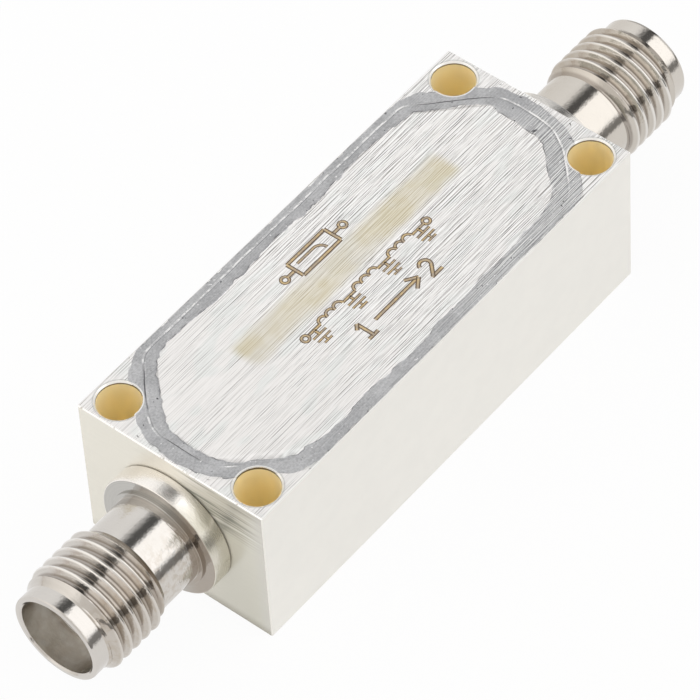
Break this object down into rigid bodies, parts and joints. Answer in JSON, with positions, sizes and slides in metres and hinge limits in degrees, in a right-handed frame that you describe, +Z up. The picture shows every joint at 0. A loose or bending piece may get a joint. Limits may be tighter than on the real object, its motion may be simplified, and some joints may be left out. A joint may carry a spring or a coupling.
{
  "type": "rf filter",
  "caption": "Rectangular milled metal block with a soldered octagonal cover, corner fixing holes and a threaded female coaxial port on each end.",
  "frame": {"origin": "middle of the block's base, half way between the two ports", "axes": "+X from port 1 to port 2 along the ports' common axis, +Y across the block, +Z up through the cover"},
  "size_m": [0.0484, 0.012, 0.0097],
  "materials": {
    "silver_plate": "silver-plated milled metal, brushed lengthwise on the top face and satin on the sides",
    "solder": "dull grey solder, dressed flush",
    "stainless": "turned passivated stainless steel, bright",
    "insulator": "white fluoropolymer, matte",
    "gold_plate": "gold-plated spring alloy",
    "board": "glass-fibre laminate",
    "land_plate": "gold-flashed copper",
    "screw_steel": "plain stainless steel",
    "coil_wire": "enamelled copper wire",
    "laser_mark": "tan laser marking on the cover",
    "chip_ceramic": "unglazed ceramic with tinned ends"
  },
  "bodies": {
    "root": {"housing": "silver_plate", "cover": "silver_plate", "solder_seam": "solder", "port_1_shell": "stainless", "port_1_insulator": "insulator", "port_1_contact": "gold_plate", "pin_joint_1": "solder", "port_2_shell": "stainless", "port_2_insulator": "insulator", "port_2_contact": "gold_plate", "pin_joint_2": "solder", "circuit_board": "board", "copper_lands": "land_plate", "board_screws": "screw_steel", "coil_joints": "solder", "coil_1": "coil_wire", "coil_2": "coil_wire", "coil_3": "coil_wire", "coil_4": "coil_wire", "capacitor_1": "chip_ceramic", "capacitor_2": "chip_ceramic", "capacitor_3": "chip_ceramic", "capacitor_4": "chip_ceramic", "capacitor_5": "chip_ceramic"}
  },
  "joints": []
}
